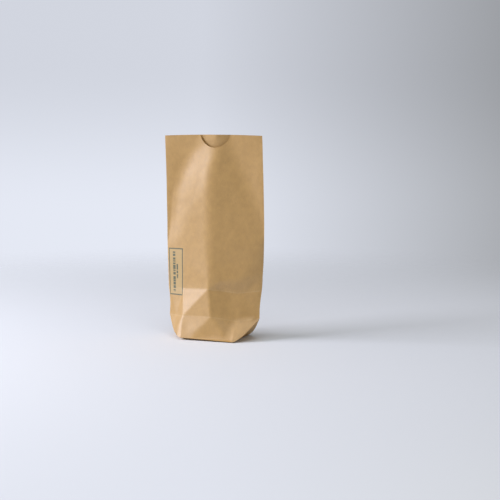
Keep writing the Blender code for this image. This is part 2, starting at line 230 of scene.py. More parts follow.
FRONT_HIGH = (
    (-1.00, HIGH_CREASE, 0.0),
    HIGH_LEFT,
    HIGH_MIDDLE,
    (0.31, HIGH_CREASE, 0.0093),
    (0.62, HIGH_CREASE, 0.0051),
    (1.00, HIGH_CREASE, 0.0),
)
FRONT_LOW = (
    (-1.00, LOW_CREASE, 0.0),
    LOW_FAR_LEFT,
    LOW_LEFT,
    LOW_MIDDLE,
    (0.54, LOW_CREASE, 0.0110),
    (1.00, LOW_CREASE, 0.0),
)
LEFT_DIAGONAL = (
    HIGH_MIDDLE,
    LOW_LEFT,
    fold_edge(-1, CUT_PART),
)
UPPER_DIAGONAL = (
    HIGH_LEFT,
    LOW_FAR_LEFT,
)
FRONT_FOOT = (
    (0.06, 0.004, 0.0275),
    (0.40, 0.004, 0.0268),
)
LOWER_DIAGONAL = (
    LOW_MIDDLE,
    (-0.31, 0.0, HALF_BASE),
)
FRONT_LINES = (
    *OUTLINE, RIDGE, LEFT_FACET, RIGHT_FACET, LEFT_SWELL, FRONT_HIGH, FRONT_BULGE,
    FRONT_LOW, LEFT_DIAGONAL, UPPER_DIAGONAL, LOWER_DIAGONAL, FRONT_FOOT, FRONT_MOUTH,
)
print(len(FRONT_LINES), "crease lines in front")

# %% [markdown]
# The back isn't seen in the photograph, so it is smooth, with one broad crown. At
# the mouth it follows the front ply, because the mouth stands open only a little.

# %% The back
BACK_MIDDLE = (
    (0.00, 0.0, HALF_BASE),
    (0.00, LOW_CREASE, 0.0270),
    (0.00, HIGH_CREASE, 0.0215),
    (0.00, 0.50 * PLY_HEIGHT, 0.0120),
    (0.00, 0.77 * PLY_HEIGHT, 0.0045),
    (0.08, 0.92 * PLY_HEIGHT, -0.0010),
    (0.08, PLY_HEIGHT, -0.0024),
)
BACK_SHOULDER = (
    (HINGE, 0.0, HALF_BASE),
    (HINGE, LOW_CREASE, 0.0235),
    (0.52, HIGH_CREASE, 0.0135),
    (0.50, 0.50 * PLY_HEIGHT, 0.0080),
    (0.50, 0.77 * PLY_HEIGHT, 0.0056),
    (0.45, 0.92 * PLY_HEIGHT, 0.0048),
    (0.38, PLY_HEIGHT, 0.0030),
)
BACK_MOUTH = (
    (-1.00, PLY_HEIGHT, 0.0),
    (-0.38, PLY_HEIGHT, 0.0030),
    (0.08, PLY_HEIGHT, -0.0024),
    (0.38, PLY_HEIGHT, 0.0026),
    (1.00, PLY_HEIGHT, 0.0),
)
BACK_LINES = (
    *OUTLINE, BACK_MIDDLE, BACK_SHOULDER,
    tuple((-across, up, out) for across, up, out in BACK_SHOULDER), BACK_MOUTH,
)
print(len(BACK_LINES), "crease lines behind")

# %% [markdown]
# A net of triangles is stretched between the crease lines. It says how far the
# paper stands out at any point of the flat sheet. Blender's own triangulation
# keeps each crease as an edge, so the facets between creases stay flat.

# %% The net of facets
SAME_PLACE = 1e-7
NO_AREA = 1e-14


def stretched_net(lines):
    """The net as three arrays: its corners on the flat sheet, their heights, its triangles."""
    points, outs, edges, seen = [], [], [], {}
    for line in lines:
        last = None
        for across, up, out in line:
            key = (round(across, 4), round(up, 6))
            if key not in seen:
                seen[key] = len(points)
                points.append(Vector((across * HALF_WIDTH, up)))
                outs.append(out)
            if last is not None and last != seen[key]:
                edges.append((last, seen[key]))
            last = seen[key]
    made, _, faces, origins, _, _ = delaunay_2d_cdt(points, edges, [], 0, SAME_PLACE, True)
    nearest = [min(range(len(points)), key=lambda i: (points[i] - p).length) for p in made]
    corners = np.array([list(point) for point in made])
    heights = np.array([outs[o[0]] if o else outs[n] for o, n in zip(origins, nearest)])
    return corners, heights, np.array([list(face) for face in faces])


def net_height(net, across, up):
    """Height of the net at points given as two flat arrays."""
    corners, heights, faces = net
    a = corners[faces[:, 0]]
    b = corners[faces[:, 1]] - a
    c = corners[faces[:, 2]] - a
    area = b[:, 0] * c[:, 1] - b[:, 1] * c[:, 0]
    area = np.where(np.abs(area) < NO_AREA, NO_AREA, area)
    x = across[:, None] - a[None, :, 0]
    y = up[:, None] - a[None, :, 1]
    s = (x * c[:, 1] - y * c[:, 0]) / area
    t = (y * b[:, 0] - x * b[:, 1]) / area
    best = np.minimum(np.minimum(s, t), 1 - s - t).argmax(axis=1)
    rows = np.arange(len(across))
    s, t = s[rows, best], t[rows, best]
    out = heights[faces[best]]
    return out[:, 0] * (1 - s - t) + out[:, 1] * s + out[:, 2] * t


front_net = stretched_net(FRONT_LINES)
back_net = stretched_net(BACK_LINES)
print("facets:", len(front_net[2]), "in front,", len(back_net[2]), "behind")

# %% [markdown]
# A crease in real paper is a little round, so the height is averaged over a small
# disc. The disc is small between the two cross creases, where the paper was
# folded hard, and larger further up, where the paper only bends. It is larger at
# the right as well. Next to a fold it shrinks to nothing, so the folds stay sharp.

# %% Rounded creases
SOFT_LOW = 0.0017
SOFT_HIGH = 0.009
HARD_ZONE, HARD_FADE = 0.02, 0.05
RIGHT_SLOPE, RIGHT_MOST = 1.5, 0.6
DISC_RINGS = ((0.45, 8, 0.0), (0.9, 12, 0.5))


def disc_reach(across, up):
    """Radius of the disc at each point, never past the edge of the ply."""
    side = HALF_WIDTH - np.abs(across)
    fold = (up - (np.abs(across) - CORNER)) / math.sqrt(2)
    room = np.minimum(np.minimum(side, fold), np.minimum(up, PLY_HEIGHT - up))
    off = np.abs(up - (LOW_CREASE + HIGH_CREASE) / 2)
    far = np.clip((off - HARD_ZONE) / HARD_FADE, 0.0, 1.0)
    right = np.clip(RIGHT_SLOPE * across / HALF_WIDTH, 0.0, RIGHT_MOST)
    return np.clip(room, 0.0, SOFT_LOW + (SOFT_HIGH - SOFT_LOW) * np.maximum(far, right))


def soft_height(net, across, up):
    """Height of the net, averaged over the middle and two rings of the disc."""
    reach = disc_reach(across, up)
    total = net_height(net, across, up)
    for ring, spokes, first in DISC_RINGS:
        for k in range(spokes):
            turn = 2 * math.pi * (k + first) / spokes
            shift = reach * ring
            aside = across + shift * math.cos(turn)
            above = up + shift * math.sin(turn)
            total = total + net_height(net, aside, above)
    return total / (1 + sum(spokes for _, spokes, _ in DISC_RINGS))


foot = soft_height(front_net, np.zeros(1), np.full(1, HIGH_CREASE))
print("at the upper crease the front stands", round(float(foot[0]) * 1000, 1), "mm out")

# %% [markdown]
# The sheet needs many small faces to bend softly. They don't have to be all the
# same size. Columns are placed where something happens: round the notch, at the
# hinges of the base, and on the two edges of the glued lap. Rows are closer
# together at the two creases.

# %% Places of the columns and rows
FINE = 0.0014
STEP_WIDTH = 0.0001
CREASE_ROWS = (-0.0016, -0.0008, 0.0, 0.0008, 0.0016)
FOLD_ROWS = 18
NOTCH_COLUMNS = 38

notch_reach = math.sqrt(NOTCH_RADIUS**2 - (NOTCH_RADIUS - NOTCH_DEPTH) ** 2)


def evenly(start, end, step=FINE):
    """Places from start to end, about one step apart."""
    return np.linspace(start, end, max(2, round((end - start) / step) + 1))


def merged(places, least):
    """Places in order, without those that lie too close to the one before."""
    kept = []
    for place in sorted(places):
        if not kept or place - kept[-1] > least:
            kept.append(float(place))
    return np.array(kept)


def column_places():
    """Places across the ply, closest together where the notch's edge is steep."""
    widest = math.asin(notch_reach / NOTCH_RADIUS)
    turns = np.linspace(-widest, widest, NOTCH_COLUMNS)
    notch = NOTCH_SHIFT + NOTCH_RADIUS * np.sin(turns)
    seam = (
        SEAM_EDGE - SEAM_LAP - STEP_WIDTH,
        SEAM_EDGE - SEAM_LAP,
        SEAM_EDGE,
        SEAM_EDGE + STEP_WIDTH,
    )
    clear = [p for p in notch if min(abs(p - s) for s in seam) > 4 * STEP_WIDTH]
    left = [*evenly(-HALF_WIDTH, -CORNER), *evenly(-CORNER, notch.min())]
    right = [*evenly(notch.max(), CORNER), *evenly(CORNER, HALF_WIDTH)]
    return merged([*clear, *seam, *left, *right], STEP_WIDTH / 2)


def row_places():
    """Places up the ply, closest together at the two cross creases."""
    low = [LOW_CREASE + step for step in CREASE_ROWS]
    high = [HIGH_CREASE + step for step in CREASE_ROWS]
    fold = list(np.linspace(0.0, low[0], FOLD_ROWS))
    panel = list(evenly(low[-1], high[0]))
    plain = list(evenly(high[-1], PLY_HEIGHT))
    return merged([*fold, *low, *panel, *high, *plain], STEP_WIDTH)


columns = column_places()
levels = row_places()
middle = int(np.abs(columns).argmin())
low_row = int(np.abs(levels - LOW_CREASE).argmin())
print(len(columns), "columns,", len(levels), "rows, low crease on row", low_row)

# %% [markdown]
# The lower corners of each ply are cut off by the 45 degree folds of the base,
# so the columns beyond the hinge close up towards the corner. At the mouth the
# last rows dip round the thumb notch. What comes out of this cell is the flat
# place of each point of a ply: across and up.

# %% The flat ply
MOUTH_ZONE = 0.025


def narrowed(up):
    """Columns at a height below the side folds, where the base folds cut the corners off."""
    half = CORNER + min(up, HALF_BASE)
    share = np.clip(np.abs(columns) - CORNER, 0.0, None) / HALF_BASE
    return np.sign(columns) * (np.minimum(np.abs(columns), CORNER) + share * (half - CORNER))


def notched_top():
    """Height of the front ply's upper edge at each column."""
    off = np.abs(columns - NOTCH_SHIFT)
    inside = np.sqrt(np.clip(NOTCH_RADIUS**2 - off**2, 0.0, None))
    cut = np.where(off < notch_reach + 1e-9, inside - (NOTCH_RADIUS - NOTCH_DEPTH), 0.0)
    return PLY_HEIGHT - cut


def flat_ply(top):
    """Two arrays with a row for each level: across and up on the flat paper."""
    across = np.array([narrowed(level) for level in levels])
    share = np.clip((levels - (PLY_HEIGHT - MOUTH_ZONE)) / MOUTH_ZONE, 0.0, 1.0)
    up = levels[:, None] - share[:, None] * (PLY_HEIGHT - top)[None, :]
    return across, up


front_flat = flat_ply(notched_top())
back_flat = flat_ply(np.full(len(columns), PLY_HEIGHT))
print("notch floor at", round(float(front_flat[1].max(axis=0).min()), 4), "m up the paper")

# %% [markdown]
# Three small things are added to the depth that the net gives. The whole bag
# sways a little from front to back. The paper swells next to the side folds,
# where it springs open. Handling has left shallow dents. Each row of the table
# has a share of the height, the sway of the left and the right side fold, and a
# shift of both to the right.

# %% Sway, swelling and dents
SIDE_SWAY = (
    (0.00, 0.0, 0.0, 0.0),
    (0.12, -0.001, 0.000, -0.0004),
    (0.25, -0.001, 0.005, 0.0000),
    (0.39, -0.001, 0.006, 0.0006),
    (0.58, 0.000, 0.004, 0.0008),
    (0.77, 0.000, 0.001, 0.0006),
    (1.00, -0.001, -0.003, -0.0002),
)
FOLD_SWELL = 0.0008
FOLD_REACH = 0.004
DENTS = ((34.0, 0.00042), (85.0, 0.00016))
DENT_ROOM = 0.012
FRONT_LAYER, BACK_LAYER = 2.5, 8.5
sway_table = np.array(SIDE_SWAY)


def dents(across, up, layer):
    """Shallow hollows and swellings from handling, fading out at every crease and fold."""
    side = HALF_WIDTH - np.abs(across)
    crease = np.minimum(np.abs(up - LOW_CREASE), np.abs(up - HIGH_CREASE))
    room = np.minimum(np.minimum(side, up), crease)
    depth = np.zeros(across.shape)
    for place in np.ndindex(across.shape):
        for often, amount in DENTS:
            at = Vector((across[place] * often, up[place] * often, layer))
            depth[place] += amount * noise.noise(at)
    return depth * np.clip(room / DENT_ROOM, 0.0, 1.0)


def sway(across, up):
    """Where the middle plane of the bag stands, front to back."""
    left = np.interp(up / PLY_HEIGHT, sway_table[:, 0], sway_table[:, 1])
    right = np.interp(up / PLY_HEIGHT, sway_table[:, 0], sway_table[:, 2])
    share = (across / HALF_WIDTH + 1) / 2
    return left * (1 - share) + right * share


def stood_out(net, facing, across, up):
    """Depth of each point: the sway of the bag, and the net's height to the front or the back."""
    out = soft_height(net, across.ravel(), up.ravel()).reshape(across.shape)
    to_side = np.clip(HALF_WIDTH - np.abs(across), 0.0, None)
    above = np.clip((up - LOW_CREASE) / HALF_BASE, 0.0, 1.0)
    swell = FOLD_SWELL * (1 - np.exp(-to_side / FOLD_REACH)) * above
    layer = BACK_LAYER if facing > 0 else FRONT_LAYER
    return sway(across, up) + facing * (out + swell + dents(across, up, layer))


y_sample = stood_out(front_net, -1, front_flat[0][-1:], front_flat[1][-1:])
print("the front's upper edge stands up to", round(float(-y_sample.min()) * 1000, 1), "mm forward")

# %% [markdown]
# Now the paper is folded. The depth of each point is known. Its place to the
# side and its height follow from one rule: paper doesn't stretch, so the
# distance between neighbours stays what it was on the flat sheet. The mouth is
# brought level at the end, as the paper's own small buckles do.

# %% Folding a ply
def spread(across, y):
    """Place to the side, walking out from the middle column with each step's length kept."""
    run = np.sqrt(np.clip(np.diff(across, axis=1) ** 2 - np.diff(y, axis=1) ** 2, 0.0, None))
    x = np.concatenate([np.zeros((len(y), 1)), np.cumsum(run, axis=1)], axis=1)
    shift = np.interp(levels / PLY_HEIGHT, sway_table[:, 0], sway_table[:, 3])
    return x - x[:, middle : middle + 1] + across[:, middle : middle + 1] + shift[:, None]


def hinge_columns():
    """For each column beyond a hinge of the base, the column that stands on that hinge."""
    left = int(np.abs(columns + CORNER).argmin())
    right = int(np.abs(columns - CORNER).argmin())
    own = np.arange(len(columns))
    return np.where(own < left, left, np.where(own > right, right, own))


def climbed(up, x, y):
    """Height above the table, each column climbing its own length of paper."""
    rise = np.sqrt(np.clip(np.diff(up, axis=0) ** 2 - np.diff(y, axis=0) ** 2, 0.0, None))
    z = np.concatenate([np.zeros((1, len(columns))), np.cumsum(rise, axis=0)])
    side = np.clip((np.abs(columns) - CORNER) / HALF_BASE, 0.0, 1.0)
    hinge = hinge_columns()
    free = z.copy()
    for k in range(low_row + 1):
        part = levels[k] / LOW_CREASE
        edge = CORNER + (TIP_OUT - CORNER) * part**EDGE_SPREAD
        x[k] = (1 - side) * x[k, hinge] + side * np.sign(columns) * edge
        z[k] = (1 - side) * free[k, hinge] + side * TIP_UP * part**TIP_CURL
    z[low_row + 1 :] += z[low_row] - free[low_row]
    crown = MOUTH_CROWN * (1 - (columns / HALF_WIDTH) ** 2)
    reach = z[-1] + (PLY_HEIGHT - up[-1]) - z[low_row]
    share = (MOUTH_LEVEL + crown - z[low_row]) / reach
    z[low_row:] = z[low_row] + (z[low_row:] - z[low_row]) * share
    return z


def folded(net, facing, flat):
    """One ply as a grid of points in space."""
    across, up = flat
    y = stood_out(net, facing, across, up)
    x = spread(across, y)
    return np.stack([x, y, climbed(up, x, y)], axis=2)


front = folded(front_net, -1, front_flat)
back = folded(back_net, 1, back_flat)
print("front ply reaches", round(float(-front[..., 1].min()) * 1000, 1), "mm forward")

# %% [markdown]
# The front and the back ply are the same sheet, so they share both side folds.
# Each pair of edge points is brought to its middle place, and the paper beside
# it follows. The tips where the side folds meet the base stay fixed.

# %% Joining the plies at the side folds
TIP_EASE = 0.04


def share_side_folds():
    """Bring the front and the back ply together along both side folds."""
    halves = ((0, slice(None, middle)), (-1, slice(middle + 1, None)))
    for k in range(low_row + 1, len(levels)):
        ease = min(1.0, (levels[k] - LOW_CREASE) / TIP_EASE)
        for end, half in halves:
            mean = (front[k, end] + back[k, end]) / 2
            tip = math.copysign(TIP_OUT, mean[0])
            mean[0] = tip + (mean[0] - tip) * ease
            weight = np.abs(columns[half]) / HALF_WIDTH
            for ply in (front, back):
                stretch = mean[0] / ply[k, end, 0] - 1
                ply[k, half, 2] += (mean[2] - ply[k, end, 2]) * weight**3
                ply[k, half, 0] *= 1 + stretch * weight
                ply[k, end] = mean


share_side_folds()
gap = np.abs(front[low_row:, [0, -1]] - back[low_row:, [0, -1]]).max()
print("widest gap left at a side fold:", gap)

# %% [markdown]
# The base lies on the table between its front and back folds. Its two ends are
# triangles that lean up to the tips, because the bag isn't pressed quite flat.
# The rows of the base use the same edge points as the two plies.

# %% The base
def base_grid():
    """The base as a grid from the front fold to the back fold, and the place of each row."""
    share = np.clip((np.abs(columns) - CORNER) / HALF_BASE, 0.0, 1.0)[:, None]
    fold = [front[k] for k in range(low_row + 1)] + [back[k] for k in range(low_row - 1, -1, -1)]
    depth = [-HALF_BASE + levels[k] for k in range(low_row + 1)]
    depth += [HALF_BASE - levels[k] for k in range(low_row - 1, -1, -1)]
    grid = []
    for ply, y in zip(fold, depth):
        hinge = np.stack(
            [np.clip(columns, -CORNER, CORNER), np.full(len(columns), y), np.zeros(len(columns))],
            axis=1,
        )
        ends = np.where(columns[:, None] < 0, ply[0][None, :], ply[-1][None, :])
        grid.append(hinge + (ends - hinge) * share)
    grid[0], grid[-1] = front[0].copy(), back[0].copy()
    return np.array(grid), np.array(depth)


base, base_depth = base_grid()
print("base grid", base.shape[:2])

# %% [markdown]
# The bag stands on the middle of its base. The front edge curls up a little, most
# at the left corner, and leaves a thin dark gap above the table.

# %% The lifted front edge
LIFT_LEFT, LIFT_RIGHT = 0.0030, 0.0008
LIFT_REACH = 0.014


def front_lift(x, y):
    """How far the paper rises off the table near the front edge."""
    lift = np.interp(x, (-CORNER, CORNER), (LIFT_LEFT, LIFT_RIGHT))
    return lift * np.clip(1 - (y + HALF_BASE) / LIFT_REACH, 0.0, 1.0) ** 2


for sheet_part in (front, back, base):
    sheet_part[..., 2] += front_lift(sheet_part[..., 0], sheet_part[..., 1])
print("front edge lifted by", LIFT_LEFT * 1000, "mm at the left")

# %% [markdown]
# Each of the three surfaces starts as Blender's own grid, with as many cells as
# it needs. Its points are then moved to their folded places. The same step
# writes the UV map: it holds the place on the flat sheet, in metres, so that
# fibres and print follow the paper through every fold. The grids meet point for
# point, so merging them by distance closes the sheet.

# %% Three grids become one sheet
BACK_SHIFT = FLAT_WIDTH + 0.01
BASE_SHIFT = -0.08
SAME_POINT = 2e-6


def grid_piece(name, points, across, up):
    """A grid primitive with its points moved to the folded ones and its UV map on the flat sheet."""
    rows, width = points.shape[:2]
    deselect()
    bpy.ops.mesh.primitive_grid_add(x_subdivisions=width - 1, y_subdivisions=rows - 1, size=1)
    piece = bpy.context.object
    piece.name = name
    place = np.empty(rows * width * 3)
    piece.data.vertices.foreach_get("co", place)
    place = place.reshape(-1, 3)
    order = np.lexsort((place[:, 0].round(5), place[:, 1].round(5)))
    place[order] = points.reshape(-1, 3)
    flat = np.empty((rows * width, 2))
    flat[order] = np.stack([across.ravel(), up.ravel()], axis=1)
    piece.data.vertices.foreach_set("co", place.ravel())
    corner = np.empty(len(piece.data.loops), dtype=np.int32)
    piece.data.loops.foreach_get("vertex_index", corner)
    piece.data.uv_layers.active.data.foreach_set("uv", flat[corner].ravel())
    piece.data.uv_layers.active.name = "flat_sheet"
    piece.data.update()
    return piece


front_piece = grid_piece("bag_front", front, *front_flat)
back_piece = grid_piece("bag_back", back, BACK_SHIFT - back_flat[0], back_flat[1])
base_across = np.repeat(columns[None, :], len(base_depth), axis=0)
base_up = np.repeat(base_depth[:, None], len(columns), axis=1) + BASE_SHIFT
base_piece = grid_piece("bag_base", base, base_across, base_up)

pick(front_piece)
back_piece.select_set(True)
base_piece.select_set(True)
bpy.ops.object.join()
bag = bpy.context.object
bag.name = "kraft_bag"
bpy.ops.object.mode_set(mode="EDIT")
bpy.ops.mesh.select_all(action="SELECT")
bpy.ops.mesh.remove_doubles(threshold=SAME_POINT)
bpy.ops.mesh.dissolve_degenerate(threshold=1e-7)
bpy.ops.mesh.select_all(action="SELECT")
bpy.ops.mesh.normals_make_consistent(inside=False)
bpy.ops.object.mode_set(mode="OBJECT")
print("one sheet of", len(bag.data.polygons), "faces")

# %% [markdown]
# The paper gets its thickness from a Solidify modifier, inwards, so that the
# outer side stays in place. First the sheet is raised by two thicknesses, which
# leaves room for the two flaps under the base.

# %% Paper thickness
RAISED = 2 * PAPER
SHARP_FOLD = math.radians(40)

outer_faces = len(bag.data.polygons)
bag.location.z = RAISED
pick(bag)
bpy.ops.object.transform_apply(location=True, rotation=False, scale=False)
wall = bag.modifiers.new("paper thickness", "SOLIDIFY")
wall.thickness = PAPER
wall.offset = -1.0
wall.use_even_offset = True
wall.use_quality_normals = True
wall.thickness_clamp = 0.5
bpy.ops.object.modifier_apply(modifier=wall.name)
bpy.ops.object.shade_smooth_by_angle(angle=SHARP_FOLD)
print("with both sides:", len(bag.data.polygons), "faces")

# %% [markdown]
# The tube is closed by a glued lap: a strip of the same paper, 12 mm wide, that
# lies on the back ply from the base to the mouth. It starts as a copy of the back
# ply's own columns, set just outside it. A line in the material would be less
# work, but a raised strip catches the light as the real one does.

# %% The glued lap
LAP_OFF = 0.6 * PAPER
LAP_SHIFT = 0.02


def thickened(piece, thickness):
    """A thin sheet made solid, half to each side."""
    pick(piece)
    plate = piece.modifiers.new("plate", "SOLIDIFY")
    plate.thickness = thickness
    plate.offset = 0.0
    bpy.ops.object.modifier_apply(modifier=plate.name)
    bpy.ops.object.mode_set(mode="EDIT")
    bpy.ops.mesh.select_all(action="SELECT")
    bpy.ops.mesh.normals_make_consistent(inside=False)
    bpy.ops.object.mode_set(mode="OBJECT")
    bpy.ops.object.shade_smooth_by_angle(angle=SHARP_FOLD)


in_lap = (columns > SEAM_EDGE - SEAM_LAP - 1e-6) & (columns < SEAM_EDGE + 1e-6)
lap_points = back[:, in_lap] + np.array([0.0, LAP_OFF, RAISED])
lap_across = BACK_SHIFT - back_flat[0][:, in_lap] + LAP_SHIFT
lap = grid_piece("glued_lap", lap_points, lap_across, back_flat[1][:, in_lap])
thickened(lap, PAPER)
print("lap", int(in_lap.sum()), "columns wide")

# %% [markdown]
# Two flaps close the base from below. Each is a plate with its corners cut off at
# 45 degrees, and each reaches 8 mm past the middle, so that they overlap. They
# show only when the bag is picked up, so they stay plain.

# %% Flaps of the base
FLAP_PAST = 0.008
FLAP_CUT = 0.0108
FLAP_ROWS, FLAP_COLUMNS = 24, 16
FLAP_PAPER = 0.9 * PAPER
FLAP_SHIFT = 0.3
FRONT_FLAP_UP, BACK_FLAP_UP = 1.45 * PAPER, 0.5 * PAPER


def base_flap(name, side, height):
    """One flap: from a long edge of the base to past its middle, following the lifted edge."""
    wide = CORNER - PAPER
    depth = np.linspace(HALF_BASE, -FLAP_PAST, FLAP_ROWS)
    half = wide - np.clip(FLAP_CUT - (depth + FLAP_PAST), 0.0, None)
    x = half[:, None] * np.linspace(-1.0, 1.0, FLAP_COLUMNS)[None, :]
    y = np.repeat(side * depth[:, None], FLAP_COLUMNS, axis=1)
    z = height + front_lift(x, y)
    flap = grid_piece(name, np.stack([x, y, z], axis=2), x - FLAP_SHIFT, y + FLAP_SHIFT)
    thickened(flap, FLAP_PAPER)
    return flap


front_flap = base_flap("front_flap", -1, FRONT_FLAP_UP)
back_flap = base_flap("back_flap", 1, BACK_FLAP_UP)
print("flaps overlap by", round(2 * FLAP_PAST * 1000, 1), "mm")

# %% [markdown]
# All of it is one bag, so the lap and the flaps are joined to the sheet. The
# print belongs on the outer front alone, so the UV places of the inner side are
# moved one metre away.

# %% One bag
AWAY = 1.0
uv = bag.data.uv_layers["flat_sheet"].data
for face in bag.data.polygons[outer_faces:]:
    for loop in face.loop_indices:
        uv[loop].uv.x -= AWAY
pick(bag)
for part in (lap, front_flap, back_flap):
    part.select_set(True)
bpy.ops.object.join()
print("whole bag:", sum(len(f.vertices) - 2 for f in bag.data.polygons), "triangles")

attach(bag, "root")
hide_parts("paper_bag")

# %% [markdown]
# The material is built from nodes. Five small helpers keep that readable: one
# adds a node, one links or writes a value, one does a sum, one mixes two colours,
# and one makes a smooth step.

# %% Node helpers
def add_node(tree, kind, **settings):
    """A new node of one kind, with its settings."""
    made = tree.nodes.new(kind)
    for name, value in settings.items():
        setattr(made, name, value)
    return made


def plug(tree, value, socket):
    """Link an output to a socket, or write a plain value on it."""
    if isinstance(value, bpy.types.NodeSocket):
        tree.links.new(value, socket)
    else:
        socket.default_value = value


def sum_of(tree, operation, first, second=0.0, third=0.0):
    """The result of one Math node."""
    made = add_node(tree, "ShaderNodeMath", operation=operation)
    for value, socket in zip((first, second, third), made.inputs):
        plug(tree, value, socket)
    return made.outputs[0]


def mixed(tree, share, first, second):
    """Two colours mixed by a share from 0 to 1."""
    made = add_node(tree, "ShaderNodeMix", data_type="RGBA")
    plug(tree, share, made.inputs["Factor"])
    plug(tree, first, made.inputs[6])
    plug(tree, second, made.inputs[7])
    return made.outputs[2]


def ranged(tree, value, low, high, out_low=0.0, out_high=1.0):
    """A smooth step: the value between low and high becomes out_low to out_high."""
    made = add_node(tree, "ShaderNodeMapRange", interpolation_type="SMOOTHSTEP")
    for name, number in (
        ("From Min", low), ("From Max", high), ("To Min", out_low), ("To Max", out_high),
    ):
        made.inputs[name].default_value = number
    plug(tree, value, made.inputs["Value"])
    return made.outputs["Result"]


print("node helpers are ready")

# %% [markdown]
# Kraft paper is uncoated. Its colour is uneven, because the fibres gather in
# small clouds, and single dark fibres show in it. The fibres run up the bag, so
# the noise is squeezed in one direction. All places come from the UV map of the
# flat sheet, in metres. A scanned paper would do as well, but noise needs no file
# and never repeats.

# %% Kraft paper: clouds and fibres
kraft = bpy.data.materials.new("kraft_paper")
kraft.use_nodes = True
tree = kraft.node_tree
shader = tree.nodes["Principled BSDF"]
sheet = add_node(tree, "ShaderNodeUVMap", uv_map="flat_sheet").outputs["UV"]


def paper_noise(across, up, detail):
    """Noise on the flat sheet, with its own number of waves per metre in each direction."""
    stretch = add_node(tree, "ShaderNodeVectorMath", operation="MULTIPLY")
    stretch.inputs[1].default_value = (across, up, 1.0)
    tree.links.new(sheet, stretch.inputs[0])
    made = add_node(tree, "ShaderNodeTexNoise")
    made.inputs["Scale"].default_value = 1.0
    made.inputs["Detail"].default_value = detail
    made.inputs["Roughness"].default_value = 0.6
    tree.links.new(stretch.outputs[0], made.inputs["Vector"])
    return made.outputs["Fac"]


CLOUD_WAVES, FIBRE_WAVES, STRAY_WAVES = (130.0, 95.0), (1500.0, 260.0), (620.0, 240.0)
CLOUD_SHARE, FIBRE_SHARE, STRAY_SHARE = 0.55, 0.45, 0.45
KRAFT_DARK = (0.475, 0.266, 0.064, 1.0)
KRAFT_LIGHT = (0.590, 0.345, 0.095, 1.0)
KRAFT_FIBRE = (0.270, 0.140, 0.045, 1.0)

clouds = paper_noise(*CLOUD_WAVES, 3.0)
fibres = paper_noise(*FIBRE_WAVES, 2.0)
strays = paper_noise(*STRAY_WAVES, 1.0)
share = sum_of(tree, "MULTIPLY_ADD", ranged(tree, clouds, 0.25, 0.75), CLOUD_SHARE, 0.0)
share = sum_of(tree, "MULTIPLY_ADD", ranged(tree, fibres, 0.25, 0.75), FIBRE_SHARE, share)
kraft_colour = mixed(tree, share, KRAFT_DARK, KRAFT_LIGHT)
stray_share = ranged(tree, strays, 0.70, 0.80, 0.0, STRAY_SHARE)
kraft_colour = mixed(tree, stray_share, kraft_colour, KRAFT_FIBRE)
print("kraft colours", KRAFT_DARK[:3], "to", KRAFT_LIGHT[:3])

# %% [markdown]
# Where the paper was folded hard, its surface is rubbed a little lighter: along
# the two cross creases and down both side folds. On the flat sheet these are
# straight lines, so the wear is measured there and not painted by hand.

# %% Worn creases
WORN = (0.640, 0.430, 0.190, 1.0)
WORN_HALF = 0.0010
WORN_BELOW = 0.0004
WORN_LEAST, WORN_MOST = 0.15, 0.6

apart = add_node(tree, "ShaderNodeSeparateXYZ")
tree.links.new(sheet, apart.inputs[0])
sheet_u = apart.outputs["X"]
sheet_v = apart.outputs["Y"]


def line_mask(value, middle, half):
    """One at the middle of a line, falling to zero at its edges."""
    off = sum_of(tree, "SUBTRACT", value, middle)
    return ranged(tree, sum_of(tree, "ABSOLUTE", off), half, 0.0)


low_worn = line_mask(sheet_v, LOW_CREASE - WORN_BELOW, WORN_HALF)
high_worn = line_mask(sheet_v, HIGH_CREASE - WORN_BELOW, WORN_HALF)
left_worn = line_mask(sheet_u, -HALF_WIDTH, WORN_HALF)
right_worn = line_mask(sheet_u, HALF_WIDTH, WORN_HALF)
worn = sum_of(tree, "MAXIMUM", low_worn, high_worn)
worn = sum_of(tree, "MAXIMUM", worn, sum_of(tree, "MAXIMUM", left_worn, right_worn))
worn = sum_of(tree, "MULTIPLY", worn, ranged(tree, clouds, 0.3, 0.7, WORN_LEAST, WORN_MOST))
kraft_colour = mixed(tree, worn, kraft_colour, WORN)
print("worn lines", 2 * WORN_HALF * 1000, "mm wide")

# %% [markdown]
# One small panel is printed on the front at the left edge, in dark green ink. It
# is a plain frame with two upright rows of dashes, and it carries no words. Lines
# and dashes made by nodes stay sharp at any size, which an image would not.

# %% The printed panel
INK = (0.020, 0.050, 0.010, 1.0)
TINT = (0.520, 0.380, 0.150, 1.0)
PANEL_LEFT, PANEL_RIGHT = -0.0626, -0.0415
PANEL_LOW, PANEL_HIGH = 0.056, 0.114
LINE_HALF = 0.0007
BIG_ROW, BIG_OFTEN = (-0.0566, -0.0526, 0.0595, 0.1102), 420.0
SMALL_ROW, SMALL_OFTEN = (-0.0510, -0.0486, 0.0758, 0.0946), 640.0
INK_SHARE, TINT_SHARE = 0.92, 0.5
DASH_FROM, DASH_TO = 0.38, 0.46


def box_distance(left, right, low, high):
    """Distance to the edge of an upright box on the flat sheet, below zero inside it."""
    off_u = sum_of(tree, "ABSOLUTE", sum_of(tree, "SUBTRACT", sheet_u, (left + right) / 2))
    off_v = sum_of(tree, "ABSOLUTE", sum_of(tree, "SUBTRACT", sheet_v, (low + high) / 2))
    off_u = sum_of(tree, "SUBTRACT", off_u, (right - left) / 2)
    off_v = sum_of(tree, "SUBTRACT", off_v, (high - low) / 2)
    return sum_of(tree, "MAXIMUM", off_u, off_v)


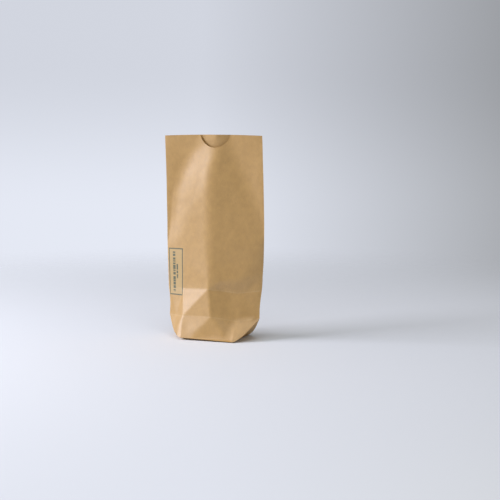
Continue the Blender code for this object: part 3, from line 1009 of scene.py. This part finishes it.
def dash_row(left, right, low, high, often):
    """Dashes of uneven length, one above the other."""
    inside = sum_of(tree, "LESS_THAN", box_distance(left, right, low, high), 0.0)
    made = add_node(tree, "ShaderNodeTexNoise", noise_dimensions="1D")
    made.inputs["Scale"].default_value = often
    made.inputs["Detail"].default_value = 1.0
    tree.links.new(sheet_v, made.inputs["W"])
    dashes = ranged(tree, made.outputs["Fac"], DASH_FROM, DASH_TO)
    return sum_of(tree, "MULTIPLY", inside, dashes)


panel = box_distance(PANEL_LEFT, PANEL_RIGHT, PANEL_LOW, PANEL_HIGH)
frame_line = sum_of(tree, "LESS_THAN", sum_of(tree, "ABSOLUTE", panel), LINE_HALF)
big_dashes = dash_row(*BIG_ROW, BIG_OFTEN)
small_dashes = dash_row(*SMALL_ROW, SMALL_OFTEN)
ink = sum_of(tree, "MAXIMUM", frame_line, sum_of(tree, "MAXIMUM", big_dashes, small_dashes))
in_panel = sum_of(tree, "LESS_THAN", panel, 0.0)
kraft_colour = mixed(tree, sum_of(tree, "MULTIPLY", in_panel, TINT_SHARE), kraft_colour, TINT)
kraft_colour = mixed(tree, sum_of(tree, "MULTIPLY", ink, INK_SHARE), kraft_colour, INK)
tree.links.new(kraft_colour, shader.inputs["Base Color"])
print("panel", round((PANEL_RIGHT - PANEL_LEFT) * 1000, 1), "mm wide")

# %% [markdown]
# The surface is dull but not chalky, and a little duller where fibres stand up.
# Smooth kraft paper shines softly at a low angle, so its refraction and specular
# level are set above Blender's usual ones. A small bump brings out the grain.

# %% Surface of the paper
GRAIN_DEPTH = 0.00008
CLOUD_HEIGHT = 1.2
SMOOTHEST, DULLEST = 0.42, 0.54

shader.inputs["IOR"].default_value = 1.6
shader.inputs["Specular IOR Level"].default_value = 1.0
dullness = ranged(tree, fibres, 0.2, 0.8, SMOOTHEST, DULLEST)
tree.links.new(dullness, shader.inputs["Roughness"])
grain = add_node(tree, "ShaderNodeBump")
grain.inputs["Strength"].default_value = 0.5
grain.inputs["Distance"].default_value = GRAIN_DEPTH
height = sum_of(tree, "MULTIPLY_ADD", clouds, CLOUD_HEIGHT, fibres)
tree.links.new(height, grain.inputs["Height"])
tree.links.new(grain.outputs["Normal"], shader.inputs["Normal"])
bag.data.materials.clear()
bag.data.materials.append(kraft)
print("material", kraft.name, "with", len(tree.nodes), "nodes")

# %% [markdown]
# The floor is a pale disc. A plain plane would end in a hard line behind the bag.
# The disc fades out instead, so it runs into the backdrop without an edge, and it
# keeps the bag's shadow.

# %% The floor
FLOOR_RADIUS = 1.2
FADE_FROM, FADE_TO = 0.25, 1.1
FLOOR_TONE = (0.90, 0.94, 1.0, 1.0)

bpy.ops.mesh.primitive_circle_add(vertices=96, radius=FLOOR_RADIUS, fill_type="NGON")
floor = bpy.context.object
floor.name = "floor"
floor_paint = bpy.data.materials.new("floor_paint")
floor_paint.use_nodes = True
ground = floor_paint.node_tree
paint = ground.nodes["Principled BSDF"]
paint.inputs["Base Color"].default_value = FLOOR_TONE
paint.inputs["Roughness"].default_value = 0.9
paint.inputs["Specular IOR Level"].default_value = 0.1
place = add_node(ground, "ShaderNodeTexCoord").outputs["Object"]
far = add_node(ground, "ShaderNodeVectorMath", operation="LENGTH")
ground.links.new(place, far.inputs[0])
clear = add_node(ground, "ShaderNodeBsdfTransparent")
blend = add_node(ground, "ShaderNodeMixShader")
ground.links.new(ranged(ground, far.outputs["Value"], FADE_FROM, FADE_TO), blend.inputs["Fac"])
ground.links.new(paint.outputs[0], blend.inputs[1])
ground.links.new(clear.outputs[0], blend.inputs[2])
ground.links.new(blend.outputs[0], ground.nodes["Material Output"].inputs["Surface"])
floor.data.materials.append(floor_paint)
print("floor", FLOOR_RADIUS, "m in radius")

# %% [markdown]
# The backdrop is what the camera sees behind the bag: a soft run from pale blue
# white at the left to light grey at the right, a little darker at the top. The
# grey at the right and the darkening at the top are painted shade, the fall-off
# of the studio light. The light of the room is set by itself, and is dimmer. A
# Light Path node tells the two apart. Reflections see a third of the backdrop and
# the rest of the room, or the dull paper would be veiled.

# %% Backdrop and room light
LEFT_TONE = (0.783, 0.815, 0.905, 1.0)
RIGHT_SHADED_TONE = (0.415, 0.430, 0.460, 1.0)
NEAR_TONE = (0.680, 0.701, 0.730, 1.0)
ROOM_TONE = (0.278, 0.275, 0.270, 1.0)
VIEW_HALF = 0.21
LEFT_EDGE = -0.04
TOP_FROM, TOP_TO, TOP_SHADE = 0.03, 0.16, 0.18
BLACK = (0.0, 0.0, 0.0, 1.0)
MIRRORED = 0.35

world = bpy.data.worlds.new("studio")
bpy.context.scene.world = world
world.use_nodes = True
sky = world.node_tree
room = sky.nodes["Background"]
room.inputs["Color"].default_value = ROOM_TONE
room.inputs["Strength"].default_value = 1.0
toward = add_node(sky, "ShaderNodeTexCoord").outputs["Generated"]


def along(way):
    """How far the looked-at direction leans along a given way."""
    made = add_node(sky, "ShaderNodeVectorMath", operation="DOT_PRODUCT")
    sky.links.new(toward, made.inputs[0])
    made.inputs[1].default_value = way
    return made.outputs["Value"]


sideways = add_node(sky, "ShaderNodeMapRange")
sideways.inputs["From Min"].default_value = LEFT_EDGE
sideways.inputs["From Max"].default_value = VIEW_HALF
sky.links.new(along(view_right), sideways.inputs["Value"])
# Painted shade: the backdrop turns grey towards the right and dark towards the top, where the studio
# light falls off.
low_share = ranged(sky, along(view_up), 0.0, -VIEW_HALF)
top_share = ranged(sky, along(view_up), TOP_FROM, TOP_TO, 0.0, TOP_SHADE)
shaded_right_tone = mixed(sky, low_share, RIGHT_SHADED_TONE, NEAR_TONE)
backdrop_tone = mixed(sky, sideways.outputs["Result"], LEFT_TONE, shaded_right_tone)
backdrop_tone = mixed(sky, top_share, backdrop_tone, BLACK)
backdrop = add_node(sky, "ShaderNodeBackground")
sky.links.new(backdrop_tone, backdrop.inputs["Color"])
rays = add_node(sky, "ShaderNodeLightPath")
glossy = sum_of(sky, "MULTIPLY", rays.outputs["Is Glossy Ray"], MIRRORED)
seen = sum_of(sky, "MAXIMUM", rays.outputs["Is Camera Ray"], glossy)
seen = sum_of(sky, "MAXIMUM", seen, rays.outputs["Is Transmission Ray"])
choose = add_node(sky, "ShaderNodeMixShader")
sky.links.new(seen, choose.inputs["Fac"])
sky.links.new(room.outputs[0], choose.inputs[1])
sky.links.new(backdrop.outputs[0], choose.inputs[2])
sky.links.new(choose.outputs[0], sky.nodes["World Output"].inputs["Surface"])
bpy.context.scene.view_settings.view_transform = "Standard"
print("backdrop from", LEFT_TONE[:3], "to", RIGHT_SHADED_TONE[:3])

# %% [markdown]
# One soft lamp stands to the left and lights the front at a slant, which brings
# out the folds. A wide, weak one above fills the shadows. Both are large squares,
# because a small lamp would throw a hard-edged shadow.

# %% Lamps
LAMP_AIM = 0.13
KEY_TONE = (1.0, 0.985, 1.08)


def soft_lamp(name, turn, rise, distance, size, power):
    """A square soft box that looks at the middle of the bag."""
    way = direction(math.radians(turn), math.radians(rise))
    at = Vector((0.0, 0.0, LAMP_AIM)) + way * distance
    bpy.ops.object.light_add(type="AREA", location=at)
    lamp = bpy.context.object
    lamp.name = name
    lamp.rotation_euler = way.to_track_quat("Z", "Y").to_euler()
    lamp.data.shape = "SQUARE"
    lamp.data.size = size
    lamp.data.energy = power
    return lamp


key = soft_lamp("key_lamp", turn=-62.0, rise=25.0, distance=1.6, size=1.0, power=22.0)
key.data.color = KEY_TONE
top = soft_lamp("top_lamp", turn=20.0, rise=65.0, distance=1.6, size=1.2, power=6.5)
print("lamps", key.name, top.name)

# %% [markdown]
# Last, a helper that gives a box as lists of plain numbers.

# %% Finish
def plain(box):
    """A box as lists of plain numbers."""
    return [[float(c) for c in corner] for corner in box]
